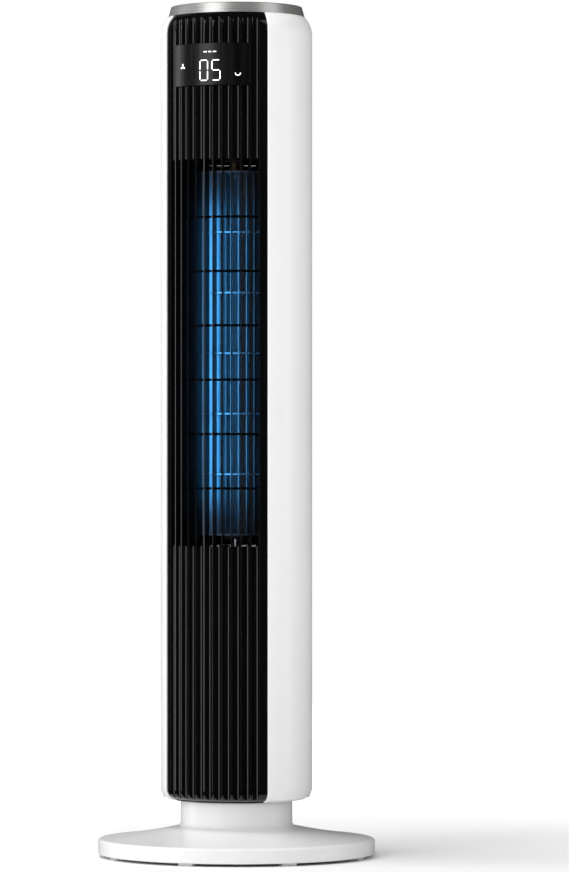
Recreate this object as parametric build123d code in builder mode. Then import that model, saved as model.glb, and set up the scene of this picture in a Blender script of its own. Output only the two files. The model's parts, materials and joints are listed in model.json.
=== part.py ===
from build123d import *
import os
from math import acos, atan2, cos, degrees, hypot, pi, radians, sin, sqrt, tan

# Oscillating tower fan. Millimetres, +Z up, the front faces -Y.
# The origin is on the floor, at the centre of the feet.

# ---------------------------------------------------------------- overall
height = 920.0
base_diameter = 300.0
tower_diameter = 164.0

# ---------------------------------------------------------------- clearances
fit_gap = 0.3            # between parts that are pushed together
turn_gap = 0.05          # radial, round a turning shaft
slide_gap = 0.2          # between faces that slide past each other
overlap = 0.1            # by which a rib is sunk into the wall it grows from
cut_reach = 8.0          # by which a cut runs past the face it opens

# ---------------------------------------------------------------- stand
foot_height = 3.0
foot_count = 8
foot_width = 17.0
foot_length = 12.0
foot_recess = 1.2
foot_margin = 5.0        # rim to the outer end of a foot
foot_corner = 2.0
foot_chamfer = 0.6
rim_height = 16.5
rim_round = 3.0
rim_lower_round = 1.6
cone_rise = 14.0
cone_dish = 1.2
cover_wall = 3.0
sleeve_lead = 2.0        # sleeve round the neck, above the cone
sleeve_lip = 0.5
sleeve_sweep = 2.8
sleeve_drop = 0.3
plate_wall = 2.5
plate_lip_setback = 1.0
plate_lip_wall = 2.0
plate_lip_height = 3.0
neck_inset = 21.5        # tower's side to the neck's side
neck_wall = 2.5
neck_exposed = 27.5
collar_wall = 3.0
collar_depth = 11.5
collar_flange = 3.0
neck_foot_width = 4.0
neck_foot_wall = 3.0
neck_rim_width = 6.0
neck_rim_height = 4.5
slide_inner_inset = 4.4
slide_outer_inset = 2.0
slide_groove = 1.2
deck_drop = 10.0         # neck's top to the deck inside it
deck_wall = 3.0
ballast_height = 10.0
ballast_bore_gap = 12.0  # neck to the ballast ring
ballast_rim_gap = 22.0   # ballast ring to the cover's wall
ballast_round = 1.5

# ---------------------------------------------------------------- swing drive
ring_teeth = 48
pinion_teeth = 16
pressure_angle = 20.0
addendum = 0.95
dedendum = 1.25
backlash = 0.12
gear_height = 6.0
post_radius = 11.0
post_wall = 3.0
post_flange = 3.0
post_flange_margin = 5.0
post_above_nut = 2.0
post_chamfer = 0.8
gear_bore_gap = 1.0
drive_margin = 8.0       # neck's inside to the outermost tooth of the pinion
pinion_shaft_radius = 2.5
pinion_shaft_reach = 7.0 # into the motor above the floor
pinion_hole_gap = 1.0
step_motor_share = 0.608  # of the room between the washer and the pinion's axis
step_motor_height = 19.0
step_motor_bore = 8.0
step_motor_round = 1.5
boss_wall = 4.0
boss_height = 10.0
nut_height = 6.0
nut_wall = 5.0
washer_height = 1.2
washer_margin = 1.0

# ---------------------------------------------------------------- tower skin
tower_gap = 1.0          # neck's top to the tower's underside
ring_height = 11.0
ring_inset = 8.0         # tower's side to the ring's lower edge
ring_taper = 3.0
shoulder_round = 27.0
foot_round = 12.5
shell_wall = 2.5
floor_wall = 3.0
floor_ledge_wall = 5.0
floor_rib_wall = 2.0
floor_rib_drop = 2.0    # boss to the ribs beside it
floor_rib_gap = 6.0      # tower screws to the ends of the ribs
insert_half_angle = 46.2
insert_gap_angle = 0.3
insert_inset = 1.5
insert_wall = 2.5
insert_depth = 7.0       # ridge tip to the inside of the front wall
lip_angle = 2.0
lip_depth = 6.5
lip_round = 1.0
ledge_wall = 2.0
ledge_depth = 6.0
ledge_screw_margin = 4.0
skirt_ledge_gap = 1.2
rib_wall = 2.0
rib_depth = 1.5
rib_angles = (-20, 20, 90, 160, 200)

# ---------------------------------------------------------------- front grille
ridge_count = 12         # with the broad land on either side
ridge_pitch_angle = 7.28
flute_radius = 4.55
flute_centre_proud = 0.5 # centre of a flute in front of the ridge tips
plinth_height = 275.0    # tower's underside to the outlet
head_height = 157.0      # outlet to the ring
fin_wall = 1.4
fin_depth = 11.5
tie_count = 6
tie_end_margin = 62.0
tie_height = 2.6
tie_depth = 2.5
fin_overrun = 4.0
fin_root = 0.4           # by which a fin is sunk into the ridge in front of it

# ---------------------------------------------------------------- display
window_half_angle = 32.5
window_drop = 33.5       # ring to the window's upper edge
window_height = 45.5
window_wall = 2.5
window_proud = 1.0       # window in front of the ridge tips
window_corner = 4.0
window_edge_round = 0.7
digit_width = 31.0
digit_height = 25.0
digit_depth = 10.0
digit_drop = 29.5        # window's upper edge to the middle of the digits
digit_opening_gap = 1.0
board_wall = 1.6
board_corner = 2.0
display_board_width = 56.0
display_board_extra = 4.0
display_board_setback = 7.0

# ---------------------------------------------------------------- rear inlet
inlet_width = 124.0
inlet_end_margin = 2.0
inlet_corner = 8.0
inlet_slot_width = 5.0
inlet_slot_pitch = 8.0
inlet_rows = 7
inlet_rail = 4.0
inlet_wall = 2.4
inlet_margin = 6.0       # panel's edge to the slots
inlet_half_angle = 62.0  # half the arc that the panel is cut from

# ---------------------------------------------------------------- air path
duct_depth = 25.0        # fins to the impeller
duct_wall = 3.0
duct_end_gap = 2.0       # outlet's end to the duct's floor or ceiling
duct_end_angle = 1.0     # last fin to the end of a duct wall
impeller_end_gap = 12.0
impeller_sections = 6
blade_count = 32
blade_wall = 1.0
blade_chord = 11.0
blade_camber_angle = 5.5
blade_lead_angle = 2.5
blade_tip_inset = 0.5
disc_wall = 1.8
disc_lip = 1.0
impeller_clearance = 4.0 # impeller to the scroll at its start
scroll_wall_thickness = 2.0
scroll_start_angle = 50.0
scroll_flare_angle = 14.0
tongue_clearance = 3.0
tongue_angle = 197.0
tongue_flare_angle = 22.0
hub_radius = 12.0
hub_height = 6.0
hub_flange = 4.0
hub_flange_height = 4.0
hub_gap = 2.0
shaft_rise = 2.0         # shaft above the impeller's lower end

# ---------------------------------------------------------------- motor
motor_radius = 42.0
motor_height = 48.0
motor_wall = 1.6
motor_flange = 5.0
motor_collar = 5.0
vent_count = 6
vent_length = 14.0
vent_width = 4.0
mount_height = 10.0
mount_radius = 34.0
mount_count = 4
mount_first_angle = 45.0
mount_hole_r = 3.5
grommet_flange = 2.5
grommet_cap = 1.5
shaft_radius = 4.0
bush_radius = 8.0
bush_height = 10.0
bush_overhang = 6.0      # bush outside the motor's end
bush_end_gap = 1.0
bush_above_duct = 2.0
holder_wall = 5.0
holder_lip = 1.5
holder_flange = 2.0
rotor_radius = 24.0
air_gap = 0.5
shaft_tail = 9.0         # shaft below the motor
shaft_chamfer = 0.5
pin_radius = 3.0
pin_boss_wall = 4.0
core_margin = 10.0       # motor's end to its iron core
yoke_wall = 4.0
pole_count = 8
pole_width = 5.0
pole_overlap = 0.5
shoe_wall = 2.4
shoe_inset = 0.5
shoe_width = 13.0
winding_inset = 3.5
winding_height = 5.0
winding_round = 1.5

# ---------------------------------------------------------------- top
panel_wall = 2.5
ring_wall = 2.4
ring_flange = 5.0
button_count = 5
button_radius = 7.0
button_inset = 27.4      # skirt's side to the circle of the buttons
button_pitch = 20.94     # along that circle
button_travel = 1.0
button_proud = 1.7
button_round = 0.6
button_flange = 1.6
button_flange_height = 1.4
button_stem_radius = 2.0
switch_width = 6.0
switch_corner = 0.5
switch_height = 3.8
control_board_drop = 4.4
control_board_gap = 4.0
panel_drop = 0.6         # ring's inner lip to the panel
panel_post_r = 3.0
panel_post_inset = 10.0
panel_post_count = 3
panel_post_angle = 30.0
skirt_wall = 2.5
skirt_height = 7.5
ring_round = 0.7

# ---------------------------------------------------------------- fasteners and small parts
screw_r = 1.5
screw_head_r = 3.0
screw_head_height = 1.6
head_gap = 0.4
head_sink = 0.2
screw_grip = 9.0
cover_post_r = 4.5
cover_post_sink = 1.0
cover_screw_count = 4
cover_screw_angle = 22.5
cover_screw_inset = 15.0
cover_screw_length = 9.0
neck_screw_count = 4
neck_screw_angle = 45.0
neck_screw_inset = 4.0
neck_screw_length = 5.0
gear_screw_count = 4
gear_screw_angle = 45.0
gear_screw_length = 11.0
tower_screw_inset = 6.0
tower_screw_reach = 4.5
tower_screw_angles = (0, 60, 120, 180)
gland_r = 4.0
gland_flange_r = 4.8
gland_bore_r = 3.0
gland_seat = 1.4
gland_flange_wall = 1.0
gland_inside = 6.0       # gland behind the cover's wall
gland_inner_gap = 0.5
gland_inner_flange = 3.0
notch_margin = 1.5
notch_length = 16.0

# ---------------------------------------------------------------- electronics
bracket_setback = 32.0   # tower's side to the bracket
bracket_width = 84.0
bracket_height = 128.0
bracket_lift = 22.0      # floor to the bracket's panel
bracket_wall = 3.0
bracket_corner = 3.0
leg_spacing = 38.0
leg_width = 12.0
leg_overlap = 8.0
standoff = 4.0
standoff_r = 3.0
standoff_inset_x = 9.0
standoff_inset_z = 6.0
board_height = 118.0
board_lift = 26.0
board_side_gap = 3.0
component_height = 14.0
capacitor_radius = 9.0
capacitor_height = 34.0
capacitor_lift = 76.0
capacitor_round = 1.5
# Centre (across, above the board's lower edge) and size of each block on the main board.
board_blocks = (
    ((-18, 26), (30, 26)),
    ((18, 20), (16, 14)),
    ((16, 52), (22, 12)),
    ((-20, 60), (12, 20)),
)

# ---------------------------------------------------------------- derived
base_r = base_diameter / 2
tower_r = tower_diameter / 2
base_bottom = foot_height
plate_top = base_bottom + plate_wall
rim_top = base_bottom + rim_height
cone_top = rim_top + cone_rise
neck_r = tower_r - neck_inset
neck_inner_r = neck_r - neck_wall
neck_top = cone_top + neck_exposed
deck_top = neck_top - deck_drop
deck_bottom = deck_top - deck_wall
collar_r = neck_r + collar_wall
collar_bottom = cone_top - collar_depth

tower_bottom = neck_top + tower_gap
ring_bottom = height - ring_height
shoulder_r = tower_r - shoulder_round
shoulder_z = ring_bottom - sqrt(shoulder_round**2 - (shoulder_round - ring_inset) ** 2)
foot_r = tower_r - foot_round
floor_r = foot_r - fit_gap
floor_top = tower_bottom + floor_wall

front = -90.0            # direction of the front, in degrees from +X
shell_half_angle = insert_half_angle + insert_gap_angle
lip_end_angle = shell_half_angle + lip_angle
ledge_start_angle = lip_end_angle + 1.0
wedge_half_angle = ledge_start_angle + 0.5

insert_r = tower_r - insert_inset
flute_centre_r = insert_r + flute_centre_proud
insert_inner_r = insert_r - insert_depth
fin_inner_r = insert_r - fin_depth
outlet_bottom = tower_bottom + plinth_height
outlet_top = ring_bottom - head_height
outlet_height = outlet_top - outlet_bottom

duct_floor_top = outlet_bottom - duct_end_gap
duct_floor_bottom = duct_floor_top - duct_wall
duct_ceiling_bottom = outlet_top + duct_end_gap
duct_ceiling_top = duct_ceiling_bottom + duct_wall
impeller_r = fin_inner_r - duct_depth
impeller_bottom = outlet_bottom + impeller_end_gap
impeller_top = outlet_top - impeller_end_gap
impeller_length = impeller_top - impeller_bottom

tooth_module = (neck_inner_r - drive_margin) / (ring_teeth / 2 + pinion_teeth + 1)
gear_distance = tooth_module * (ring_teeth + pinion_teeth) / 2
step_motor_r = step_motor_share * (gear_distance - post_radius - boss_wall - washer_margin)
gear_bottom = deck_top
gear_top = gear_bottom + gear_height

motor_top = duct_floor_bottom - mount_height
motor_bottom = motor_top - motor_height
motor_middle = (motor_top + motor_bottom) / 2

panel_top = height - ring_wall - panel_drop
panel_bottom = panel_top - panel_wall
panel_r = tower_r - ring_inset - ring_taper - ring_wall - fit_gap
skirt_bottom = ring_bottom - skirt_height
skirt_outer_r = shoulder_r - fit_gap + sqrt(
    (shoulder_round - insert_inset - insert_wall) ** 2 - (ring_bottom - shoulder_z) ** 2)
control_board_top = ring_bottom - control_board_drop
button_circle = skirt_outer_r - button_inset
button_spread = degrees(button_pitch / button_circle)
bracket_y = tower_r - bracket_setback

os.makedirs("parts", exist_ok=True)


# ---------------------------------------------------------------- helpers
def radial_plane(angle):
    """Upright plane through the axis: local X runs outwards at this angle, local Y up."""
    a = radians(angle)
    return Plane(origin=(0, 0, 0), x_dir=(cos(a), sin(a), 0), z_dir=(sin(a), -cos(a), 0))


def polar(radius, angle):
    """Point at this radius and angle, in a horizontal plane."""
    return (radius * cos(radians(angle)), radius * sin(radians(angle)))


def tower_outline(inset):
    """Half section of the tower, set in from its surface and closed on the axis."""
    shoulder = shoulder_round - inset
    foot = foot_round - inset
    rise = ring_bottom - shoulder_z
    reach = sqrt(shoulder**2 - rise**2)
    low = tower_bottom + inset
    foot_z = tower_bottom + foot_round
    with BuildSketch() as outline:
        with BuildLine():
            CenterArc((shoulder_r, shoulder_z), shoulder, 0, degrees(atan2(rise, reach)))
            Line((shoulder_r + reach, ring_bottom), (0, ring_bottom))
            Line((0, ring_bottom), (0, low))
            Line((0, low), (foot_r, low))
            CenterArc((foot_r, foot_z), foot, 270, 90)
            Line((foot_r + foot, foot_z), (shoulder_r + shoulder, shoulder_z))
        make_face()
    return outline.sketch


def core(radius, low=0.0, high=2000.0):
    """Takes everything nearer the axis than this radius out of a half section."""
    with Locations((0, (low + high) / 2)):
        Rectangle(2 * radius, high - low, mode=Mode.SUBTRACT)


def ring_section(inner, outer, low, high):
    """Rectangle in a half section, which revolves to a ring."""
    with Locations(((inner + outer) / 2, (low + high) / 2)):
        Rectangle(outer - inner, high - low)


def gear_face(teeth, first_angle):
    """Spur gear outline with involute flanks."""
    pitch_r = tooth_module * teeth / 2
    base_circle = pitch_r * cos(radians(pressure_angle))
    tip_r = pitch_r + addendum * tooth_module
    root_r = pitch_r - dedendum * tooth_module
    start_r = max(base_circle, root_r)

    def involute(r):
        a = acos(min(1.0, base_circle / r))
        return tan(a) - a

    def half_angle(r):
        at_pitch = pi / (2 * teeth) - backlash / (2 * pitch_r)
        return degrees(at_pitch + involute(pitch_r) - involute(max(r, base_circle)))

    steps = 4
    radii = [start_r + (tip_r - start_r) * k / steps for k in range(steps + 1)]
    with BuildSketch() as tooth:
        with BuildLine():
            left = [polar(r, half_angle(r)) for r in radii]
            right = [polar(r, -half_angle(r)) for r in radii]
            Spline(*left)
            Line(left[-1], right[-1])
            Spline(*right)
            Polyline(right[0], polar(root_r - 0.5, -half_angle(start_r)),
                     polar(root_r - 0.5, half_angle(start_r)), left[0])
        make_face()
    with BuildSketch() as gear:
        Circle(root_r)
        with PolarLocations(0, teeth, start_angle=first_angle):
            add(tooth.sketch)
    return gear.sketch


def save(builder, name):
    """Labels a finished piece and writes it."""
    builder.part.label = name
    export_step(builder.part, f"parts/{name}.step")


# ================================================================ stand
# Base cover: a rim band, a slightly dished cone and a sleeve that the neck stands in.
cover_hole_r = neck_r + fit_gap
cover_screw_r = base_r - cover_screw_inset
gland_z = base_bottom + rim_height / 2
gland_plane = Plane(origin=(0, base_r + cut_reach, gland_z), x_dir=(-1, 0, 0), z_dir=(0, 1, 0))
with BuildPart() as base_cover:
    with BuildSketch(Plane.XZ):
        with BuildLine():
            cone_mid_r = (cover_hole_r + base_r) / 2
            cone_mid_z = (cone_top + rim_top) / 2 - cone_dish
            sleeve_top = (cover_hole_r + sleeve_lip, cone_top + sleeve_lead)
            sleeve_bend = (cover_hole_r + 0.4 * sleeve_sweep, cone_top + 0.3 * sleeve_lead)
            sleeve_end = (cover_hole_r + sleeve_sweep, cone_top - sleeve_drop)
            Line((cover_hole_r, cone_top + sleeve_lead), sleeve_top)
            ThreePointArc(sleeve_top, sleeve_bend, sleeve_end)
            ThreePointArc(sleeve_end, (cone_mid_r, cone_mid_z), (base_r, rim_top))
            Polyline((base_r, rim_top), (base_r, base_bottom), (base_r - cover_wall, base_bottom),
                     (base_r - cover_wall, rim_top - cover_wall))
            ThreePointArc((base_r - cover_wall, rim_top - cover_wall), (cone_mid_r, cone_mid_z - cover_wall),
                          (collar_r + fit_gap, cone_top - cover_wall - sleeve_lip))
            Polyline((collar_r + fit_gap, cone_top - cover_wall - sleeve_lip),
                     (collar_r + fit_gap, collar_bottom), (cover_hole_r, collar_bottom),
                     (cover_hole_r, cone_top + sleeve_lead))
        make_face()
        fillet(vertices().group_by(Axis.X)[-1].sort_by(Axis.Y)[-1], rim_round)
        fillet(vertices().group_by(Axis.X)[-1].sort_by(Axis.Y)[0], rim_lower_round)
    revolve(axis=Axis.Z)
    # Screw posts under the cone, between the feet.
    with BuildSketch(Plane.XY.offset(plate_top)):
        with PolarLocations(cover_screw_r, cover_screw_count, start_angle=cover_screw_angle):
            Circle(cover_post_r)
    extrude(amount=rim_top - cover_wall + cover_post_sink - plate_top)
    with BuildSketch(Plane.XY.offset(plate_top)):
        with PolarLocations(cover_screw_r, cover_screw_count, start_angle=cover_screw_angle):
            Circle(screw_r)
    extrude(amount=screw_grip, mode=Mode.SUBTRACT)
    # Seat for the cord's gland, at the middle of the back.
    with BuildSketch(gland_plane):
        Circle(gland_flange_r + fit_gap)
    extrude(amount=-gland_seat - cut_reach, mode=Mode.SUBTRACT)
    with BuildSketch(gland_plane):
        Circle(gland_r)
    extrude(amount=-cover_wall - cut_reach - gland_inner_gap, mode=Mode.SUBTRACT)
save(base_cover, "base_cover")

# Base plate, which closes the base from below and has a shallow seat for every foot.
foot_r_middle = base_r - foot_margin - foot_length / 2
neck_screw_r = neck_inner_r - neck_screw_inset
plate_r = base_r - cover_wall - fit_gap
plate_lip_r = plate_r - plate_lip_setback
with BuildPart() as base_plate:
    with BuildSketch(Plane.XY.offset(base_bottom)):
        Circle(plate_r)
    extrude(amount=plate_wall)
    with BuildSketch(Plane.XY.offset(plate_top)):
        Circle(plate_lip_r)
        Circle(plate_lip_r - plate_lip_wall, mode=Mode.SUBTRACT)
    extrude(amount=plate_lip_height)
    with BuildSketch(Plane.XY.offset(base_bottom)):
        with PolarLocations(foot_r_middle, foot_count):
            RectangleRounded(foot_length, foot_width, foot_corner)
    extrude(amount=foot_recess, mode=Mode.SUBTRACT)
    with BuildSketch(Plane.XY.offset(base_bottom)):
        with PolarLocations(cover_screw_r, cover_screw_count, start_angle=cover_screw_angle):
            Circle(screw_r)
        with PolarLocations(neck_screw_r, neck_screw_count, start_angle=neck_screw_angle):
            Circle(screw_r)
    extrude(amount=plate_wall, mode=Mode.SUBTRACT)
    # Notch in the plate's lip for the gland.
    with BuildSketch(Plane.XY.offset(plate_top)):
        with Locations((0, base_r - cover_wall)):
            Rectangle(2 * (gland_flange_r + notch_margin), notch_length)
    extrude(amount=plate_lip_height, mode=Mode.SUBTRACT)
save(base_plate, "base_plate")

with BuildPart() as foot_pads:
    with BuildSketch():
        with PolarLocations(foot_r_middle, foot_count):
            RectangleRounded(foot_length, foot_width, foot_corner)
    extrude(amount=foot_height + foot_recess)
    chamfer(faces().sort_by(Axis.Z)[:foot_count].edges(), foot_chamfer)
save(foot_pads, "foot_pads")

# Cast ring that keeps the tall fan from tipping.
ballast_inner_r = neck_r + ballast_bore_gap
ballast_outer_r = base_r - cover_wall - ballast_rim_gap
with BuildPart() as ballast_ring:
    with BuildSketch(Plane.XY.offset(plate_top)):
        Circle(ballast_outer_r)
        Circle(ballast_inner_r, mode=Mode.SUBTRACT)
    extrude(amount=ballast_height)
    fillet(edges().filter_by(GeomType.CIRCLE).group_by(Axis.Z)[-1], ballast_round)
save(ballast_ring, "ballast_ring")

# Neck: a tube that stands on the base plate, with a deck for the swing gear and a grooved rim.
slide_inner_r = neck_inner_r - slide_inner_inset
slide_outer_r = neck_r - slide_outer_inset
gear_screw_r = (post_radius + ring_teeth * tooth_module / 2) / 2
with BuildPart() as neck:
    with BuildSketch(Plane.XZ):
        ring_section(neck_inner_r, neck_r, plate_top, neck_top)
        ring_section(neck_inner_r, collar_r, collar_bottom - collar_flange, collar_bottom)
        ring_section(neck_screw_r - neck_foot_width, neck_r, plate_top, plate_top + neck_foot_wall)
        ring_section(post_radius, neck_r, deck_bottom, deck_top)
        ring_section(neck_inner_r - neck_rim_width, neck_r, neck_top - neck_rim_height, neck_top)
        with Locations(((slide_inner_r + slide_outer_r) / 2, neck_top)):
            Rectangle(slide_outer_r - slide_inner_r, 2 * slide_groove, mode=Mode.SUBTRACT)
    revolve(axis=Axis.Z)
    with BuildSketch(Plane.XY.offset(plate_top)):
        with PolarLocations(neck_screw_r, neck_screw_count, start_angle=neck_screw_angle):
            Circle(screw_r)
    extrude(amount=neck_foot_wall, mode=Mode.SUBTRACT)
    with BuildSketch(Plane.XY.offset(deck_bottom)):
        with PolarLocations(gear_screw_r, gear_screw_count, start_angle=gear_screw_angle):
            Circle(screw_r)
    extrude(amount=deck_wall, mode=Mode.SUBTRACT)
save(neck, "neck")

# Low-friction ring that carries the tower's weight.
with BuildPart() as slide_ring:
    with BuildSketch(Plane.XY.offset(neck_top - slide_groove)):
        Circle(slide_outer_r - turn_gap)
        Circle(slide_inner_r + turn_gap, mode=Mode.SUBTRACT)
    extrude(amount=slide_groove + tower_gap - slide_gap)
save(slide_ring, "slide_ring")

# Fixed gear that the swing pinion walks round.
with BuildPart() as ring_gear:
    with BuildSketch(Plane.XY.offset(gear_bottom)):
        add(gear_face(ring_teeth, 0))
        Circle(post_radius + gear_bore_gap, mode=Mode.SUBTRACT)
    extrude(amount=gear_height)
    with BuildSketch(Plane.XY.offset(gear_bottom)):
        with PolarLocations(gear_screw_r, gear_screw_count, start_angle=gear_screw_angle):
            Circle(screw_r)
    extrude(amount=gear_height, mode=Mode.SUBTRACT)
save(ring_gear, "ring_gear")

# Hollow post that the tower turns on; its flange is screwed under the deck.
washer_bottom = tower_bottom + boss_height + slide_gap
nut_bottom = washer_bottom + washer_height
post_top = nut_bottom + nut_height + post_above_nut
post_flange_bottom = deck_bottom - post_flange
with BuildPart() as pivot_post:
    with BuildSketch(Plane.XZ):
        ring_section(post_radius - post_wall, post_radius, post_flange_bottom, post_top)
        ring_section(post_radius - post_wall, gear_screw_r + post_flange_margin,
                     post_flange_bottom, deck_bottom)
    revolve(axis=Axis.Z)
    top_edges = edges().filter_by(GeomType.CIRCLE).group_by(Axis.Z)[-1]
    chamfer(top_edges.sort_by(SortBy.RADIUS)[-1], post_chamfer)
    with BuildSketch(Plane.XY.offset(post_flange_bottom)):
        with PolarLocations(gear_screw_r, gear_screw_count, start_angle=gear_screw_angle):
            Circle(screw_r)
    extrude(amount=post_flange, mode=Mode.SUBTRACT)
save(pivot_post, "pivot_post")

with BuildPart() as pivot_washer:
    with BuildSketch(Plane.XY.offset(washer_bottom)):
        Circle(post_radius + boss_wall + washer_margin)
        Circle(post_radius, mode=Mode.SUBTRACT)
    extrude(amount=washer_height)
save(pivot_washer, "pivot_washer")

with BuildPart() as pivot_nut:
    with BuildSketch(Plane.XY.offset(nut_bottom)):
        RegularPolygon(post_radius + nut_wall, 6)
        Circle(post_radius, mode=Mode.SUBTRACT)
    extrude(amount=nut_height)
save(pivot_nut, "pivot_nut")

# Rubber gland in the back of the rim.
with BuildPart() as cord_gland:
    with BuildSketch(Plane.YZ):
        seat_y = base_r - gland_seat
        wall_y = base_r - cover_wall
        ring_section(wall_y - gland_inside, seat_y, gland_z, gland_z + gland_r)
        ring_section(seat_y, seat_y + gland_flange_wall, gland_z, gland_z + gland_flange_r)
        ring_section(wall_y - gland_inner_gap - gland_inner_flange, wall_y - gland_inner_gap,
                     gland_z, gland_z + gland_flange_r)
        with Locations((wall_y, gland_z)):
            Rectangle(4 * gland_inside, 2 * gland_bore_r, mode=Mode.SUBTRACT)
    revolve(axis=Axis((0, 0, gland_z), (0, 1, 0)))
save(cord_gland, "cord_gland")


def screw_group(radius, count, first_angle, seat_z, length, direction=1):
    """Pan-head screws on a circle: heads against seat_z, shanks running up from it."""
    with BuildPart() as group:
        with BuildSketch(Plane.XY.offset(seat_z)):
            with PolarLocations(radius, count, start_angle=first_angle):
                Circle(screw_head_r)
        extrude(amount=-direction * screw_head_height)
        with BuildSketch(Plane.XY.offset(seat_z)):
            with PolarLocations(radius, count, start_angle=first_angle):
                Circle(screw_r)
        extrude(amount=direction * length)
    return group


cover_screws = screw_group(cover_screw_r, cover_screw_count, cover_screw_angle, base_bottom,
                           cover_screw_length)
save(cover_screws, "cover_screws")
neck_screws = screw_group(neck_screw_r, neck_screw_count, neck_screw_angle, base_bottom, neck_screw_length)
save(neck_screws, "neck_screws")
gear_screws = screw_group(gear_screw_r, gear_screw_count, gear_screw_angle, post_flange_bottom,
                          gear_screw_length)
save(gear_screws, "gear_screws")

# ================================================================ tower: floor and shells
tower_screw_r = foot_r - tower_screw_inset
floor_rib_inner_r = post_radius + boss_wall - overlap
floor_rib_outer_r = tower_screw_r - floor_rib_gap
with BuildPart() as body_floor:
    with BuildSketch(Plane.XY.offset(tower_bottom)):
        Circle(floor_r)
        Circle(post_radius + turn_gap, mode=Mode.SUBTRACT)
    extrude(amount=floor_wall)
    with BuildSketch(Plane.XY.offset(tower_bottom)):
        Circle(post_radius + boss_wall)
        Circle(post_radius + turn_gap, mode=Mode.SUBTRACT)
    extrude(amount=boss_height)
    with BuildSketch(Plane.XY.offset(tower_bottom)):
        with PolarLocations((floor_rib_inner_r + floor_rib_outer_r) / 2, 4, start_angle=45):
            Rectangle(floor_rib_outer_r - floor_rib_inner_r, floor_rib_wall)
    extrude(amount=boss_height - floor_rib_drop)
    with BuildSketch(Plane.XY.offset(tower_bottom)):
        with Locations((0, gear_distance)):
            Circle(pinion_shaft_radius + pinion_hole_gap)
    extrude(amount=floor_wall, mode=Mode.SUBTRACT)
    with BuildSketch(Plane.XY.offset(tower_bottom)):
        for angle in tower_screw_angles:
            with Locations(polar(tower_screw_r, angle)):
                Circle(screw_r)
    extrude(amount=floor_wall, mode=Mode.SUBTRACT)
    with BuildSketch(Plane.XY.offset(tower_bottom)):
        for angle in tower_screw_angles:
            with Locations(polar(tower_screw_r, angle)):
                Circle(screw_head_r + head_gap)
    extrude(amount=screw_head_height + head_sink, mode=Mode.SUBTRACT)
save(body_floor, "body_floor")

# Rear shell: a C in plan, with lips along its front edges and a window for the inlet grille.
inlet_bottom = outlet_bottom - inlet_end_margin
inlet_top = outlet_top + inlet_end_margin
inlet_z = (inlet_bottom + inlet_top) / 2
ledge_arc = 360 - 2 * ledge_start_angle
shell_inner_r = tower_r - shell_wall
floor_ledge_top = floor_top + floor_ledge_wall
ledges = [
    (tower_screw_r - ledge_screw_margin, shell_inner_r + overlap, floor_top, floor_ledge_top),
    (shell_inner_r - ledge_depth, shell_inner_r + overlap, duct_floor_bottom - ledge_wall, duct_floor_bottom),
    (shell_inner_r - ledge_depth, shell_inner_r + overlap, duct_ceiling_top, duct_ceiling_top + ledge_wall),
    (skirt_outer_r - ledge_depth, shell_inner_r - skirt_ledge_gap, skirt_bottom - ledge_wall, skirt_bottom),
]
with BuildPart() as rear_shell:
    with BuildSketch(radial_plane(front + shell_half_angle)):
        add(tower_outline(0))
        add(tower_outline(shell_wall), mode=Mode.SUBTRACT)
        core(foot_r, high=floor_top + floor_ledge_wall)
    revolve(axis=Axis.Z, revolution_arc=360 - 2 * shell_half_angle)
    for start in (front + shell_half_angle, front - lip_end_angle):
        with BuildSketch(radial_plane(start)):
            add(tower_outline(0))
            core(tower_r - lip_depth)
        revolve(axis=Axis.Z, revolution_arc=lip_angle)
    corners = edges().filter_by(Axis.Z).filter_by(lambda e: e.center().Y < 0)
    fillet(corners.filter_by(lambda e: abs(hypot(e.center().X, e.center().Y) - tower_r) < 0.01), lip_round)
    # Upright ribs stiffen the long wall.
    with BuildSketch(Plane.XY.offset(floor_top)):
        for angle in rib_angles:
            with Locations(Location(polar(shell_inner_r - (rib_depth - overlap) / 2, angle) + (0,), angle)):
                Rectangle(rib_depth + overlap, rib_wall)
    extrude(amount=skirt_bottom - ledge_wall - floor_top)
    with BuildSketch(Plane.XZ.offset(-tower_r / 3)):
        with Locations((0, inlet_z)):
            RectangleRounded(inlet_width, inlet_top - inlet_bottom, inlet_corner)
    extrude(amount=-tower_r, mode=Mode.SUBTRACT)
    for inner, outer, low, high in ledges:
        with BuildSketch(radial_plane(front + ledge_start_angle)):
            ring_section(inner, outer, low, high)
        revolve(axis=Axis.Z, revolution_arc=ledge_arc)
    with BuildSketch(Plane.XY.offset(floor_top)):
        for angle in tower_screw_angles:
            with Locations(polar(tower_screw_r, angle)):
                Circle(screw_r)
    extrude(amount=floor_ledge_wall, mode=Mode.SUBTRACT)
save(rear_shell, "rear_shell")

with BuildPart() as tower_screws:
    seat = tower_bottom + screw_head_height + head_sink
    with BuildSketch(Plane.XY.offset(seat)):
        for angle in tower_screw_angles:
            with Locations(polar(tower_screw_r, angle)):
                Circle(screw_head_r)
    extrude(amount=-screw_head_height)
    with BuildSketch(Plane.XY.offset(seat)):
        for angle in tower_screw_angles:
            with Locations(polar(tower_screw_r, angle)):
                Circle(screw_r)
    extrude(amount=floor_top + tower_screw_reach - seat)
save(tower_screws, "tower_screws")

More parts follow.
